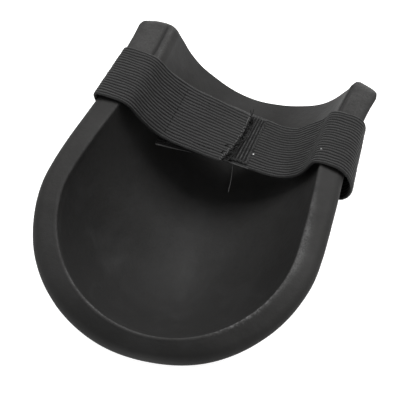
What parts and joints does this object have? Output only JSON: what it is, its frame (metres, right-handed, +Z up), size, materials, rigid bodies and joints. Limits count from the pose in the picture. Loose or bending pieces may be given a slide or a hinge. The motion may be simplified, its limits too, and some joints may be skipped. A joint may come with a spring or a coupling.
{
  "type": "knee pad",
  "caption": "Moulded foam knee cup, open at the shin end, with a two-part elastic strap across it that closes with hook and loop.",
  "frame": {"origin": "on the kneeling face, half way along the cup and on its middle line", "axes": "X across the pad, Y along it from the closed end at -Y to the open shin end at +Y, Z up out of the hollow; the pad lies on its kneeling face"},
  "size_m": [0.1665, 0.2131, 0.0876],
  "materials": {
    "foam": "matte charcoal foam rubber with fine grain and scuffs",
    "elastic": "ribbed woven elastic webbing, matte",
    "hook_tape": "moulded hook tape",
    "loop_tape": "fuzzy loop tape",
    "thread": "sewing thread",
    "rivet": "black satin",
    "washer": "dull steel"
  },
  "bodies": {
    "root": {"foam_cup": "foam", "left_root": "elastic", "right_root": "elastic", "left_rivet_near": "rivet", "left_washer_near": "washer", "left_rivet_far": "rivet", "left_washer_far": "washer", "right_rivet_near": "rivet", "right_washer_near": "washer", "right_rivet_far": "rivet", "right_washer_far": "washer"},
    "left_strap": {"left_band": "elastic"},
    "left_end": {"left_tab": "elastic", "hook_tape": "hook_tape", "hook_stitching": "thread", "seam_stitching": "thread", "hem_stitching": "thread"},
    "right_strap": {"right_band": "elastic"},
    "right_end": {"right_tab": "elastic", "loop_tape": "loop_tape", "loop_stitching": "thread"}
  },
  "joints": [
    {"name": "left_strap_open", "type": "hinge", "parent": "root", "child": "left_strap", "pos_m": [-0.06163, 0.054, 0.08464], "axis": [-0.0623, -0.9886, 0.1367], "range_deg": [0, 140]},
    {"name": "left_end_peel", "type": "hinge", "parent": "left_strap", "child": "left_end", "pos_m": [-0.03637, 0.054, 0.06266], "axis": [-0.1117, -0.9929, 0.0407], "range_deg": [0, 80]},
    {"name": "right_strap_sag", "type": "hinge", "parent": "root", "child": "right_strap", "pos_m": [0.06139, 0.0585, 0.08201], "axis": [0.0483, -0.9878, 0.1481], "range_deg": [0, 4]},
    {"name": "right_end_drop", "type": "hinge", "parent": "right_strap", "child": "right_end", "pos_m": [0.02172, 0.0585, 0.0456], "axis": [-0.0281, -0.9831, 0.1808], "range_deg": [0, 6]}
  ]
}
